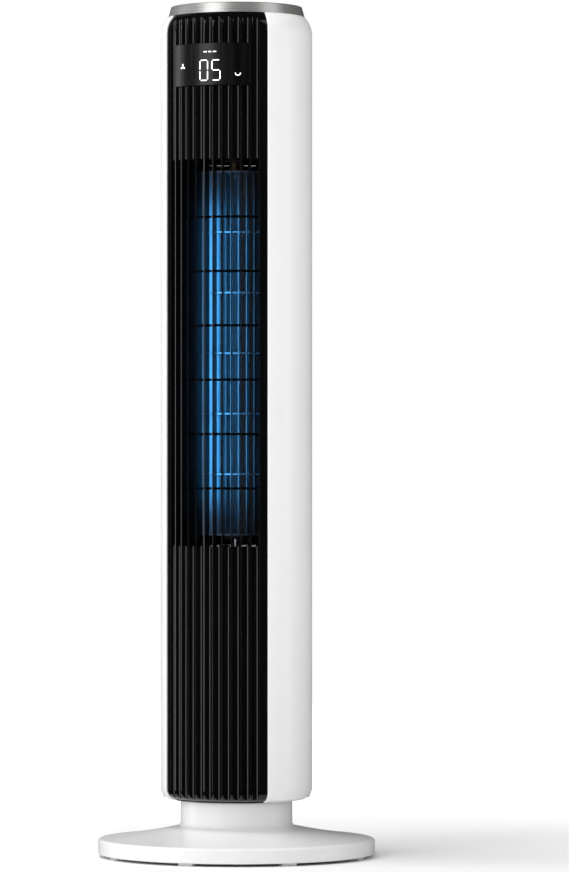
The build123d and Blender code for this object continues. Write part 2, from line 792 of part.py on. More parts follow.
# Inlet grille: rows of upright slots in a panel that lies flush in the rear window.
inlet_row_pitch = (inlet_top - inlet_bottom - 2 * inlet_margin) / inlet_rows
inlet_columns = int((inlet_width - 2 * inlet_margin) / inlet_slot_pitch)
with BuildPart() as inlet_grille:
    with BuildSketch(radial_plane(front + 180 - inlet_half_angle)):
        ring_section(tower_r - inlet_wall, tower_r, inlet_bottom - cut_reach, inlet_top + cut_reach)
    revolve(axis=Axis.Z, revolution_arc=2 * inlet_half_angle)
    with BuildSketch(Plane.XZ.offset(-tower_r / 3)):
        with Locations((0, inlet_z)):
            RectangleRounded(inlet_width - 2 * fit_gap, inlet_top - inlet_bottom - 2 * fit_gap,
                             inlet_corner - fit_gap)
    extrude(amount=-tower_r, mode=Mode.INTERSECT)
    with BuildSketch(Plane.XZ.offset(-tower_r / 3)):
        with Locations((0, inlet_z)):
            with GridLocations(inlet_slot_pitch, inlet_row_pitch, inlet_columns, inlet_rows):
                RectangleRounded(inlet_slot_width, inlet_row_pitch - inlet_rail,
                                 inlet_slot_width / 2 - overlap)
    extrude(amount=-tower_r, mode=Mode.SUBTRACT)
save(inlet_grille, "inlet_grille")

# ================================================================ tower: front grille
window_top = ring_bottom - window_drop
window_bottom = window_top - window_height
window_r = insert_r + window_proud
window_seat_r = window_r - window_wall
digit_z = window_top - digit_drop
flute_angles = [front + ridge_pitch_angle * k for k in range(1 - ridge_count // 2, ridge_count // 2)]
fin_angles = [front + ridge_pitch_angle * (k - (ridge_count - 1) / 2) for k in range(ridge_count)]
duct_half_angle = ridge_pitch_angle * ridge_count / 2 - duct_end_angle


def slot_outline(angle):
    """Corners of the gap between two fins whose sides stay parallel to the fins' middles."""
    half = radians(ridge_pitch_angle / 2)
    corners = []
    inner, outer = fin_inner_r - cut_reach, tower_r + cut_reach
    for reach, side in ((inner, -1), (outer, -1), (outer, 1), (inner, 1)):
        x = reach * cos(half) + fin_wall / 2 * sin(half)
        y = side * (reach * sin(half) - fin_wall / 2 * cos(half))
        corners.append((x * cos(radians(angle)) - y * sin(radians(angle)),
                        x * sin(radians(angle)) + y * cos(radians(angle))))
    return corners


def window_block(inner, outer, gap):
    """Rounded rectangle bent round the tower, grown by gap on every side."""
    half = window_half_angle + degrees(gap / window_r)
    with BuildPart() as block:
        with BuildSketch(radial_plane(front - half)):
            ring_section(inner, outer, window_bottom - gap, window_top + gap)
        revolve(axis=Axis.Z, revolution_arc=2 * half)
        ends = edges().filter_by(lambda e: e.geom_type == GeomType.LINE and abs(e.tangent_at(0.5).Z) < 0.5)
        fillet(ends, window_corner + gap)
    return block


window_seat = window_block(window_seat_r, tower_r + cut_reach, fit_gap)
with BuildPart() as front_grille:
    with BuildSketch(radial_plane(front - insert_half_angle)):
        add(tower_outline(insert_inset))
        add(tower_outline(insert_inset + insert_wall), mode=Mode.SUBTRACT)
        core(foot_r, high=floor_top + floor_ledge_wall)
    revolve(axis=Axis.Z, revolution_arc=2 * insert_half_angle)
    with BuildSketch(radial_plane(front - insert_half_angle)):
        add(tower_outline(insert_inset))
        core(insert_inner_r)
    revolve(axis=Axis.Z, revolution_arc=2 * insert_half_angle)
    # Concave flutes from top to bottom; a broad land is left on either side of them.
    with BuildSketch(Plane.XY.offset(tower_bottom - cut_reach)):
        for angle in flute_angles:
            with Locations(polar(flute_centre_r, angle)):
                Circle(flute_radius)
    extrude(amount=height, mode=Mode.SUBTRACT)
    # The outlet: the flutes are open here, which leaves thin fins with tie bars behind them.
    with BuildSketch(Plane.XY.offset(outlet_bottom)):
        for angle in flute_angles:
            Polygon(*slot_outline(angle), align=None)
    extrude(amount=outlet_height, mode=Mode.SUBTRACT)
    with BuildSketch(Plane.XY.offset(outlet_bottom - fin_overrun)):
        for angle in fin_angles:
            with Locations(Location((0, 0, 0), angle)):
                with Locations(((fin_inner_r + insert_inner_r + fin_root) / 2, 0)):
                    Rectangle(insert_inner_r - fin_inner_r + fin_root, fin_wall)
    extrude(amount=outlet_height + 2 * fin_overrun)
    tie_pitch = (outlet_height - 2 * tie_end_margin) / (tie_count - 1)
    for k in range(tie_count):
        tie_z = outlet_bottom + tie_end_margin + k * tie_pitch
        with BuildSketch(radial_plane(fin_angles[0])):
            ring_section(fin_inner_r, fin_inner_r + tie_depth, tie_z - tie_height / 2, tie_z + tie_height / 2)
        revolve(axis=Axis.Z, revolution_arc=fin_angles[-1] - fin_angles[0])
    # Seat of the display window, and the opening that its digits shine through.
    add(window_seat.part, mode=Mode.SUBTRACT)
    with BuildSketch(Plane.XZ.offset(fin_inner_r)):
        with Locations((0, digit_z)):
            Rectangle(digit_width + 2 * digit_opening_gap, digit_height + 2 * digit_opening_gap)
    extrude(amount=fin_depth + cut_reach, mode=Mode.SUBTRACT)
save(front_grille, "front_grille")

with BuildPart() as display_window:
    add(window_block(window_seat_r + turn_gap, window_r, 0).part)
    outside = faces().filter_by(GeomType.CYLINDER).sort_by(Axis.Y)[0]
    fillet(outside.edges(), window_edge_round)
save(display_window, "display_window")

# ================================================================ tower: display
board_y = display_board_setback - insert_inner_r
with BuildPart() as display_board:
    with BuildSketch(Plane.XZ.offset(-board_y - board_wall)):
        with Locations((0, digit_z + display_board_extra)):
            RectangleRounded(display_board_width, window_height + display_board_extra, board_corner)
    extrude(amount=board_wall)
save(display_board, "display_board")

with BuildPart() as digit_module:
    with BuildSketch(Plane.XZ.offset(-board_y)):
        with Locations((0, digit_z)):
            Rectangle(digit_width, digit_height)
    extrude(amount=digit_depth)
save(digit_module, "digit_module")

# ================================================================ tower: air path
front_wedge = [(0, 0)] + [polar(tower_diameter, front + side * wedge_half_angle) for side in (-1, 1)]


def mount_circles(radius):
    """The motor's mounting points, as circles of this radius in a sketch."""
    with PolarLocations(mount_radius, mount_count, start_angle=mount_first_angle):
        Circle(radius, mode=Mode.SUBTRACT)


def duct_disc(low, hole_r, carries_motor=False):
    """Disc that closes the duct: wide at the back, and inside the fins at the front."""
    with BuildPart() as disc:
        with BuildSketch(Plane.XY.offset(low)):
            Circle(shell_inner_r - rib_depth - fit_gap)
            Polygon(*front_wedge, align=None, mode=Mode.SUBTRACT)
            Circle(fin_inner_r - fit_gap)
            Circle(hole_r, mode=Mode.SUBTRACT)
            if carries_motor:
                mount_circles(mount_hole_r)
        extrude(amount=duct_wall)
    return disc


hub_flange_r = hub_radius + hub_flange
duct_floor = duct_disc(duct_floor_bottom, hub_flange_r + hub_gap, carries_motor=True)
save(duct_floor, "duct_floor")

holder_r = bush_radius + holder_wall
duct_ceiling = duct_disc(duct_ceiling_bottom, holder_r)
save(duct_ceiling, "duct_ceiling")

# Scroll: the wall on one side, which opens from the inlet to the outlet.
scroll_start_r = impeller_r + impeller_clearance
scroll_end_r = fin_inner_r - scroll_wall_thickness
scroll_end_angle = front + duct_half_angle
scroll_angles = (scroll_start_angle, (scroll_start_angle + scroll_end_angle) / 2, scroll_end_angle)
scroll_radii = (scroll_start_r, (scroll_start_r + scroll_end_r) / 2, scroll_end_r)
side_r = tower_r - shell_wall - scroll_wall_thickness
with BuildPart() as scroll_wall:
    with BuildSketch(Plane.XY.offset(duct_floor_top)):
        with BuildLine():
            ThreePointArc(*[polar(r, a) for r, a in zip(scroll_radii, scroll_angles)])
            Line(polar(scroll_start_r, scroll_start_angle),
                 polar(side_r, scroll_start_angle - scroll_flare_angle))
        trace(line_width=scroll_wall_thickness)
    extrude(amount=duct_ceiling_bottom - duct_floor_top)
save(scroll_wall, "scroll_wall")

# Tongue: the wall on the other side, whose tip runs close to the impeller.
tongue_r = impeller_r + tongue_clearance
with BuildPart() as tongue_wall:
    with BuildSketch(Plane.XY.offset(duct_floor_top)):
        with BuildLine():
            Polyline(polar(scroll_end_r, front - duct_half_angle), polar(tongue_r, tongue_angle),
                     polar(side_r, tongue_angle - tongue_flare_angle))
        trace(line_width=scroll_wall_thickness)
    extrude(amount=duct_ceiling_bottom - duct_floor_top)
save(tongue_wall, "tongue_wall")

# ================================================================ rotor
blade_inner_r = impeller_r - blade_chord
blade_middle_r = impeller_r - blade_chord / 2
section_length = impeller_length / impeller_sections
shaft_top = impeller_bottom + shaft_rise
with BuildPart() as impeller:
    with BuildSketch(Plane.XY.offset(impeller_bottom)):
        for k in range(blade_count):
            turn = 360 * k / blade_count
            with BuildLine():
                ThreePointArc(polar(blade_inner_r, turn), polar(blade_middle_r, turn + blade_camber_angle),
                              polar(impeller_r - blade_tip_inset, turn + blade_lead_angle))
            trace(line_width=blade_wall)
    extrude(amount=impeller_length)
    for k in range(1, impeller_sections):
        with BuildSketch(Plane.XY.offset(impeller_bottom + k * section_length - disc_wall / 2)):
            Circle(impeller_r)
            Circle(blade_inner_r - disc_lip, mode=Mode.SUBTRACT)
        extrude(amount=disc_wall)
    with BuildSketch(Plane.XY.offset(impeller_bottom - disc_wall / 2)):
        Circle(impeller_r)
        Circle(hub_radius, mode=Mode.SUBTRACT)
    extrude(amount=disc_wall)
    with BuildSketch(Plane.XY.offset(impeller_top - disc_wall / 2)):
        Circle(impeller_r)
        Circle(pin_radius, mode=Mode.SUBTRACT)
    extrude(amount=disc_wall)
    with BuildSketch(Plane.XY.offset(impeller_top - hub_height)):
        Circle(pin_radius + pin_boss_wall)
        Circle(pin_radius, mode=Mode.SUBTRACT)
    extrude(amount=hub_height)
save(impeller, "impeller")

# Rubber hub that drives the impeller's lower disc from the shaft.
with BuildPart() as impeller_hub:
    with BuildSketch(Plane.XZ):
        hub_bottom = impeller_bottom - disc_wall / 2
        ring_section(0, hub_radius, hub_bottom, impeller_bottom + hub_height)
        ring_section(0, hub_flange_r, hub_bottom - hub_flange_height, hub_bottom)
        core(shaft_radius, high=shaft_top)
    revolve(axis=Axis.Z)
save(impeller_hub, "impeller_hub")

upper_bush_bottom = impeller_top + disc_wall / 2 + bush_end_gap
upper_bush_top = duct_ceiling_top + bush_above_duct
pin_top = upper_bush_top + bush_end_gap
with BuildPart() as impeller_pin:
    with BuildSketch(Plane.XY.offset(impeller_top - hub_height)):
        Circle(pin_radius)
    extrude(amount=pin_top - impeller_top + hub_height)
    chamfer(faces().sort_by(Axis.Z)[-1].edges(), shaft_chamfer)
save(impeller_pin, "impeller_pin")

with BuildPart() as upper_bush:
    with BuildSketch(Plane.XY.offset(upper_bush_bottom)):
        Circle(bush_radius)
        Circle(pin_radius + turn_gap, mode=Mode.SUBTRACT)
    extrude(amount=upper_bush_top - upper_bush_bottom)
save(upper_bush, "upper_bush")

with BuildPart() as bush_holder:
    with BuildSketch(Plane.XZ):
        ring_section(bush_radius, holder_r, duct_ceiling_bottom - holder_lip, duct_ceiling_top + holder_lip)
        ring_section(bush_radius, holder_r + holder_flange, duct_ceiling_top, duct_ceiling_top + holder_lip)
    revolve(axis=Axis.Z)
save(bush_holder, "bush_holder")

# ================================================================ motor, hung under the duct's floor
motor_inner_r = motor_radius - motor_wall
shaft_bottom = motor_bottom - shaft_tail
lower_bush_bottom = motor_bottom - bush_overhang
upper_motor_bush_bottom = motor_top + bush_overhang - bush_height


def motor_shell(low, high, end, collar_end):
    """Pressed half shell: a can, an end wall with a collar for the bush, and a flange."""
    inwards = 1 if end < motor_middle else -1
    end_low, end_high = sorted((end, end + motor_wall * inwards))
    collar_low, collar_high = sorted((end, collar_end))
    flange_low, flange_high = sorted((motor_middle, motor_middle - motor_wall * inwards))
    with BuildPart() as shell:
        with BuildSketch(Plane.XZ):
            ring_section(motor_inner_r, motor_radius, low, high)
            ring_section(bush_radius, motor_radius, end_low, end_high)
            ring_section(bush_radius, bush_radius + motor_wall, collar_low, collar_high)
            ring_section(motor_inner_r, motor_radius + motor_flange, flange_low, flange_high)
        revolve(axis=Axis.Z)
        with BuildSketch(Plane.XY.offset(end_low)):
            with PolarLocations(motor_radius / 2, vent_count, start_angle=30):
                SlotOverall(vent_length, vent_width, rotation=90)
            if end > motor_middle:
                with PolarLocations(mount_radius, mount_count, start_angle=mount_first_angle):
                    Circle(screw_r)
        extrude(amount=motor_wall, mode=Mode.SUBTRACT)
    return shell


motor_lower_shell = motor_shell(motor_bottom, motor_middle, motor_bottom, motor_bottom - motor_collar)
save(motor_lower_shell, "motor_lower_shell")
motor_upper_shell = motor_shell(motor_middle, motor_top, motor_top, motor_top + motor_collar)
save(motor_upper_shell, "motor_upper_shell")

with BuildPart() as motor_bushes:
    for low in (lower_bush_bottom, upper_motor_bush_bottom):
        with BuildSketch(Plane.XY.offset(low)):
            Circle(bush_radius)
            Circle(shaft_radius + turn_gap, mode=Mode.SUBTRACT)
        extrude(amount=bush_height)
save(motor_bushes, "motor_bushes")

stator_inner_r = rotor_radius + air_gap
core_half = motor_height / 2 - core_margin
yoke_inner_r = motor_inner_r - yoke_wall
shoe_inner_r = stator_inner_r + shoe_inset
with BuildPart() as motor_stator:
    with BuildSketch(Plane.XY.offset(motor_middle - core_half)):
        Circle(motor_inner_r)
        Circle(yoke_inner_r, mode=Mode.SUBTRACT)
        with PolarLocations((shoe_inner_r + yoke_inner_r + pole_overlap) / 2, pole_count):
            Rectangle(yoke_inner_r + pole_overlap - shoe_inner_r, pole_width)
        with PolarLocations(shoe_inner_r + shoe_wall / 2, pole_count):
            Rectangle(shoe_wall, shoe_width)
        Circle(stator_inner_r, mode=Mode.SUBTRACT)
    extrude(amount=2 * core_half)
save(motor_stator, "motor_stator")

with BuildPart() as stator_windings:
    for low in (motor_middle - core_half - winding_height, motor_middle + core_half):
        with BuildSketch(Plane.XY.offset(low)):
            Circle(motor_inner_r - winding_inset)
            Circle(stator_inner_r + winding_inset, mode=Mode.SUBTRACT)
        extrude(amount=winding_height)
    fillet(edges().filter_by(GeomType.CIRCLE).group_by(Axis.Z)[-1], winding_round)
    fillet(edges().filter_by(GeomType.CIRCLE).group_by(Axis.Z)[0], winding_round)
save(stator_windings, "stator_windings")

with BuildPart() as motor_rotor:
    with BuildSketch(Plane.XY.offset(motor_middle - core_half)):
        Circle(rotor_radius)
        Circle(shaft_radius, mode=Mode.SUBTRACT)
    extrude(amount=2 * core_half)
save(motor_rotor, "motor_rotor")

with BuildPart() as rotor_shaft:
    with BuildSketch(Plane.XY.offset(shaft_bottom)):
        Circle(shaft_radius)
    extrude(amount=shaft_top - shaft_bottom)
    chamfer(edges().filter_by(GeomType.CIRCLE), shaft_chamfer)
save(rotor_shaft, "rotor_shaft")

# Rubber grommets between the motor and the duct's floor, each with its screw.
grommet_top = duct_floor_top + grommet_cap
with BuildPart() as motor_mounts:
    for low, high, radius in (
        (motor_top, duct_floor_bottom, mount_hole_r + grommet_flange),
        (duct_floor_bottom, duct_floor_top, mount_hole_r),
        (duct_floor_top, grommet_top, mount_hole_r + grommet_flange),
    ):
        with BuildSketch(Plane.XY.offset(low)):
            with PolarLocations(mount_radius, mount_count, start_angle=mount_first_angle):
                Circle(radius)
                Circle(screw_r, mode=Mode.SUBTRACT)
        extrude(amount=high - low)
save(motor_mounts, "motor_mounts")
mount_screw_length = grommet_top - motor_top + motor_wall
motor_screws = screw_group(mount_radius, mount_count, mount_first_angle, grommet_top,
                           mount_screw_length, -1)
save(motor_screws, "motor_screws")

# ================================================================ swing drive in the tower
with BuildPart() as step_motor:
    with BuildSketch(Plane.XY.offset(floor_top)):
        with Locations((0, gear_distance)):
            Circle(step_motor_r)
    extrude(amount=step_motor_height)
    fillet(faces().sort_by(Axis.Z)[-1].edges(), step_motor_round)
    with BuildSketch(Plane.XY.offset(floor_top)):
        with Locations((0, gear_distance)):
            Circle(pinion_shaft_radius + turn_gap)
    extrude(amount=step_motor_bore, mode=Mode.SUBTRACT)
save(step_motor, "step_motor")

with BuildPart() as drive_pinion:
    with BuildSketch(Plane.XY.offset(gear_bottom + slide_gap)):
        with Locations((0, gear_distance)):
            add(gear_face(pinion_teeth, front + 180 / pinion_teeth))
    extrude(amount=gear_height - slide_gap)
    with BuildSketch(Plane.XY.offset(gear_top)):
        with Locations((0, gear_distance)):
            Circle(pinion_shaft_radius)
    extrude(amount=floor_top + pinion_shaft_reach - gear_top)
save(drive_pinion, "drive_pinion")

# ================================================================ tower: electronics
bracket_bottom = floor_top + bracket_lift
board_bottom = floor_top + board_lift
board_middle = board_bottom + board_height / 2
leg_height = bracket_lift + leg_overlap
with BuildPart() as board_bracket:
    with BuildSketch(Plane.XZ.offset(-bracket_y - bracket_wall)):
        with Locations((0, bracket_bottom + bracket_height / 2)):
            RectangleRounded(bracket_width, bracket_height, bracket_corner)
    extrude(amount=bracket_wall)
    with BuildSketch(Plane.XZ.offset(-bracket_y - bracket_wall)):
        for side in (-1, 1):
            with Locations((side * leg_spacing / 2, floor_top + leg_height / 2)):
                Rectangle(leg_width, leg_height)
    extrude(amount=bracket_wall)
    with BuildSketch(Plane.XZ.offset(-bracket_y)):
        with Locations((0, board_middle)):
            with GridLocations(bracket_width - 2 * standoff_inset_x,
                               board_height - 2 * standoff_inset_z, 2, 2):
                Circle(standoff_r)
    extrude(amount=standoff)
save(board_bracket, "board_bracket")

with BuildPart() as main_board:
    with BuildSketch(Plane.XZ.offset(-bracket_y + standoff)):
        with Locations((0, board_middle)):
            RectangleRounded(bracket_width - 2 * board_side_gap, board_height, board_corner)
    extrude(amount=board_wall)
    with BuildSketch(Plane.XZ.offset(-bracket_y + standoff + board_wall)):
        for (across, up), (wide, tall) in board_blocks:
            with Locations((across, board_bottom + up)):
                Rectangle(wide, tall)
    extrude(amount=component_height)
save(main_board, "main_board")

with BuildPart() as motor_capacitor:
    with BuildSketch(Plane.XY.offset(board_bottom + capacitor_lift)):
        with Locations((0, bracket_y - standoff - board_wall - capacitor_radius)):
            Circle(capacitor_radius)
    extrude(amount=capacitor_height)
    fillet(faces().sort_by(Axis.Z)[-1].edges(), capacitor_round)
save(motor_capacitor, "motor_capacitor")

# ================================================================ top
ring_low_r = tower_r - ring_inset
ring_high_r = ring_low_r - ring_taper
with BuildPart() as top_ring:
    with BuildSketch(Plane.XZ):
        Polygon((ring_low_r, ring_bottom), (ring_high_r, height), (ring_high_r - ring_flange, height),
                (ring_high_r - ring_flange, height - ring_wall),
                (ring_high_r - ring_wall, height - ring_wall),
                (ring_low_r - ring_wall, ring_bottom), align=None)
        fillet(vertices().group_by(Axis.Y)[-1], ring_round)
    revolve(axis=Axis.Z)
save(top_ring, "top_ring")

button_angles = [front + button_spread * (k - (button_count - 1) / 2) for k in range(button_count)]
with BuildPart() as top_panel:
    with BuildSketch(Plane.XZ):
        ring_section(0, panel_r, panel_bottom, panel_top)
        ring_section(skirt_outer_r - skirt_wall, skirt_outer_r, skirt_bottom, panel_bottom)
    revolve(axis=Axis.Z)
    with BuildSketch(Plane.XY.offset(panel_bottom)):
        for angle in button_angles:
            with Locations(polar(button_circle, angle)):
                Circle(button_radius + fit_gap)
    extrude(amount=panel_wall, mode=Mode.SUBTRACT)
    with BuildSketch(Plane.XY.offset(control_board_top)):
        with PolarLocations(skirt_outer_r - panel_post_inset, panel_post_count,
                            start_angle=panel_post_angle):
            Circle(panel_post_r)
    extrude(amount=panel_bottom - control_board_top)
save(top_panel, "top_panel")

switch_top = control_board_top + switch_height
with BuildPart() as control_board:
    with BuildSketch(Plane.XY.offset(control_board_top - board_wall)):
        Circle(skirt_outer_r - control_board_gap)
    extrude(amount=board_wall)
    with BuildSketch(Plane.XY.offset(control_board_top)):
        for angle in button_angles:
            with Locations(polar(button_circle, angle)):
                RectangleRounded(switch_width, switch_width, switch_corner)
    extrude(amount=switch_height)
save(control_board, "control_board")

for name, angle in zip(("timer", "mode", "power", "speed", "swing"), button_angles):
    with BuildPart() as button:
        spot = polar(button_circle, angle)
        flange_top = panel_bottom - slide_gap
        with BuildSketch(Plane.XY.offset(flange_top - button_flange_height)):
            with Locations(spot):
                Circle(button_radius + button_flange)
        extrude(amount=button_flange_height)
        with BuildSketch(Plane.XY.offset(flange_top)):
            with Locations(spot):
                Circle(button_radius)
        extrude(amount=panel_top + button_proud - flange_top)
        fillet(faces().sort_by(Axis.Z)[-1].edges(), button_round)
        with BuildSketch(Plane.XY.offset(switch_top + button_travel + slide_gap)):
            with Locations(spot):
                Circle(button_stem_radius)
        extrude(amount=flange_top - switch_top - button_travel - slide_gap)
    save(button, f"{name}_button")
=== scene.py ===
# %% [markdown]
# # An oscillating tower fan
#
# The fan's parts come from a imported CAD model, which is loaded as a fixed frame. This lesson gives every
# part its finish, adds the lit signs on the display and the marks on the buttons, and sets a plain studio
# round it. All lengths are in metres, with +Z up and the fan's front facing -Y.

# %% Load the frame
import bpy
import json
from math import cos, pi, radians, sin
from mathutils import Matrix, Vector


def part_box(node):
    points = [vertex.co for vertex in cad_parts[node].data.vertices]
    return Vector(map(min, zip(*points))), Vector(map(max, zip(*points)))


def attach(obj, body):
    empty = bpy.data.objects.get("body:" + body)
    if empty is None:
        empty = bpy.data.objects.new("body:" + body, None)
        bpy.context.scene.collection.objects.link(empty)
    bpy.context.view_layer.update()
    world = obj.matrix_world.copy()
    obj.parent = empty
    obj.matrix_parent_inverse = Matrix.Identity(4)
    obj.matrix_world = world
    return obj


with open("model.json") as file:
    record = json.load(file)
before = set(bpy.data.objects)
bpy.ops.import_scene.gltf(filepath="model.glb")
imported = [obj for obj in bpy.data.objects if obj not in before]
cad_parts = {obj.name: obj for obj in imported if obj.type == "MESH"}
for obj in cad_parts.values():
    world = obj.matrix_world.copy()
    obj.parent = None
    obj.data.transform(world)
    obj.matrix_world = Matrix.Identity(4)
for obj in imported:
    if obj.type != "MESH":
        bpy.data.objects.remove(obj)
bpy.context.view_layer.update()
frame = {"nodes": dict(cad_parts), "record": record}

NODES = frame["nodes"]

# %% [markdown]
# The signs and the lights are placed from the parts they belong to, so a few measures are read from the
# frame: the display window's box and the outlet between the duct's floor and ceiling.

# %% Measure the parts that other things are placed by
MM = 0.001
WINDOW_LOW, WINDOW_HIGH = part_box("display_window")
WINDOW_R = -WINDOW_LOW.y
WINDOW_TOP = WINDOW_HIGH.z
OUTLET_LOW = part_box("duct_floor")[1].z
OUTLET_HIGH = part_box("duct_ceiling")[0].z
print("window radius", round(WINDOW_R, 4), "outlet", round(OUTLET_LOW, 3), "to", round(OUTLET_HIGH, 3))

# %% [markdown]
# ## Finishes
#
# Every finish is a node network on one Principled shader, and a few small helpers keep the networks
# short: they start a finish, add a node, join two sockets, let a value or a colour wander with a noise,
# and lay a fine bump over the surface. Patterns read Object coordinates, which are the fan's own metres,
# so a grain of 0.3 mm is written as a scale of about 3000.


# %% Helpers for node networks
def add_node(material, kind, **values):
    """Adds a node and sets its input sockets by name, or its own settings in lower case."""
    node = material.node_tree.nodes.new(kind)
    for key, value in values.items():
        if key in node.inputs:
            node.inputs[key].default_value = value
        else:
            setattr(node, key, value)
    return node


def join(material, out_socket, in_socket):
    """Joins an output socket to an input socket."""
    material.node_tree.links.new(out_socket, in_socket)


def new_finish(name, colour, roughness, **constants):
    """A material with a Principled shader and a coordinate node, ready for more nodes."""
    material = bpy.data.materials.new(name)
    material.use_nodes = True
    shader = material.node_tree.nodes["Principled BSDF"]
    shader.inputs["Base Color"].default_value = (*colour, 1)
    shader.inputs["Roughness"].default_value = roughness
    for key, value in constants.items():
        shader.inputs[key.replace("_", " ")].default_value = value
    material.diffuse_color = (*colour, 1)
    return material


def shader_of(material):
    """The material's Principled shader."""
    return material.node_tree.nodes["Principled BSDF"]


def noise(material, scale, detail=2.0, stretch=(1, 1, 1), **more):
    """A noise texture on Object coordinates, stretched along an axis where its factor is small."""
    place = add_node(material, "ShaderNodeTexCoord")
    mapping = add_node(material, "ShaderNodeMapping", Scale=stretch)
    texture = add_node(material, "ShaderNodeTexNoise", Scale=scale, Detail=detail, **more)
    join(material, place.outputs["Object"], mapping.inputs["Vector"])
    join(material, mapping.outputs["Vector"], texture.inputs["Vector"])
    return texture


def spread(material, texture, low, high, socket):
    """Maps a texture's middle range onto low to high, and feeds a socket with it."""
    ramp = add_node(material, "ShaderNodeMapRange")
    ramp.inputs["From Min"].default_value = 0.3
    ramp.inputs["From Max"].default_value = 0.7
    ramp.inputs["To Min"].default_value = low
    ramp.inputs["To Max"].default_value = high
    join(material, texture.outputs["Fac"], ramp.inputs["Value"])
    join(material, ramp.outputs["Result"], socket)
    return ramp


def vary_colour(material, texture, dark, light):
    """Lets the base colour wander between two tones."""
    ramp = add_node(material, "ShaderNodeValToRGB")
    ramp.color_ramp.elements[0].position = 0.35
    ramp.color_ramp.elements[1].position = 0.65
    ramp.color_ramp.elements[0].color = (*dark, 1)
    ramp.color_ramp.elements[1].color = (*light, 1)
    join(material, texture.outputs["Fac"], ramp.inputs["Fac"])
    join(material, ramp.outputs["Color"], shader_of(material).inputs["Base Color"])
    return ramp


def bump(material, texture, depth, strength=1.0, round_edge=0.0):
    """Raises the surface by a texture, over edges that look rounded by round_edge metres."""
    raised = add_node(material, "ShaderNodeBump", Strength=strength, Distance=depth)
    join(material, texture.outputs["Fac"], raised.inputs["Height"])
    if round_edge:
        edge = add_node(material, "ShaderNodeBevel", Radius=round_edge, samples=4)
        join(material, edge.outputs["Normal"], raised.inputs["Normal"])
    join(material, raised.outputs["Normal"], shader_of(material).inputs["Normal"])
    return raised


print("helpers ready")

# %% [markdown]
# ### White shell and stand
#
# The shell and the stand are moulded in white ABS with a satin skin. Up close such a skin has a very fine
# spark-eroded grain, and its gloss wanders a little where the plastic shrank. The grain is a small bump,
# and a broad noise moves the roughness and the tone by a few hundredths, too little to read as dirt.


# %% White moulded plastic
def white_plastic(name, tone, roughness):
    """Satin white plastic with a fine moulded grain."""
    cool = tuple(c * 0.985 for c in tone)
    material = new_finish(name, tone, roughness, Specular_IOR_Level=0.5, Coat_Weight=0.25)
    shader_of(material).inputs["Coat Roughness"].default_value = 0.18
    broad = noise(material, 9.0, detail=3.0)
    vary_colour(material, broad, cool, tone)
    spread(material, broad, roughness - 0.04, roughness + 0.05, shader_of(material).inputs["Roughness"])
    grain = noise(material, 2600.0, detail=1.0)
    bump(material, grain, 0.00002, strength=0.35, round_edge=0.0005)
    return material


SHELL_WHITE = white_plastic("shell_white_finish", (0.86, 0.86, 0.855), 0.34)
STAND_WHITE = white_plastic("stand_white_finish", (0.83, 0.83, 0.825), 0.38)
print("white plastics:", SHELL_WHITE.name, STAND_WHITE.name)

# %% [markdown]
# ### Black grille
#
# The grille is moulded in glossy black. Its flutes act as long mirrors: each one catches the lights on
# one flank only. Fine flow lines run along the ridges, because the mould was filled from its ends, so
# the roughness noise is stretched along Z.


# %% Glossy black plastic
def black_gloss(name, tone, roughness, edge):
    """Glossy black plastic with faint flow lines along Z."""
    material = new_finish(name, tone, roughness, Specular_IOR_Level=0.5)
    flow = noise(material, 160.0, detail=3.0, stretch=(1, 1, 0.04))
    spread(material, flow, roughness * 0.75, roughness * 1.35, shader_of(material).inputs["Roughness"])
    vary_colour(material, flow, tuple(c * 0.8 for c in tone), tuple(c * 1.25 for c in tone))
    skin = noise(material, 900.0, detail=2.0)
    bump(material, skin, 0.000012, strength=0.25, round_edge=edge)
    return material


GRILLE_BLACK = black_gloss("grille_black_finish", (0.002, 0.0021, 0.0023), 0.1, 0.0005)
PANEL_BLACK = black_gloss("panel_black_finish", (0.006, 0.006, 0.007), 0.14, 0.0004)
WINDOW_BLACK = black_gloss("window_black_finish", (0.002, 0.0021, 0.0024), 0.3, 0.0003)
print("black plastics:", GRILLE_BLACK.name, PANEL_BLACK.name, WINDOW_BLACK.name)

# %% [markdown]
# ### Brushed ring
#
# The ring at the top is spun aluminium-coloured metal, brushed round its axis. Brushing makes thin
# scratches that all run the same way, so the highlight stretches across them. The scratches are a noise
# that changes quickly with height and hardly at all round the ring, which is the same as stretching it
# in X and Y. The shader's anisotropy does the rest.


# %% Brushed metal, spun round the axis
def brushed_ring(name, tone):
    """Metal brushed round the Z axis."""
    material = new_finish(name, tone, 0.3, Metallic=0.82, Anisotropic=0.5)
    lines = noise(material, 1.0, detail=4.0, stretch=(25, 25, 9000))
    tangent = add_node(material, "ShaderNodeTangent", direction_type="RADIAL", axis="Z")
    join(material, tangent.outputs["Tangent"], shader_of(material).inputs["Tangent"])
    spread(material, lines, 0.2, 0.42, shader_of(material).inputs["Roughness"])
    vary_colour(material, lines, tuple(c * 0.82 for c in tone), tone)
    bump(material, lines, 0.00003, strength=0.3, round_edge=0.0004)
    return material


RING_METAL = brushed_ring("ring_brushed_finish", (0.74, 0.735, 0.72))
print("brushed metal:", RING_METAL.name)


# %% [markdown]
# ### Plain engineering finishes
#
# The parts inside and underneath are still looked at through the outlet, the inlet and from below. They
# are glass-filled plastic, rubber, acetal, plated steel, bronze, copper wire, cast iron and circuit
# board, and each has its own grain.


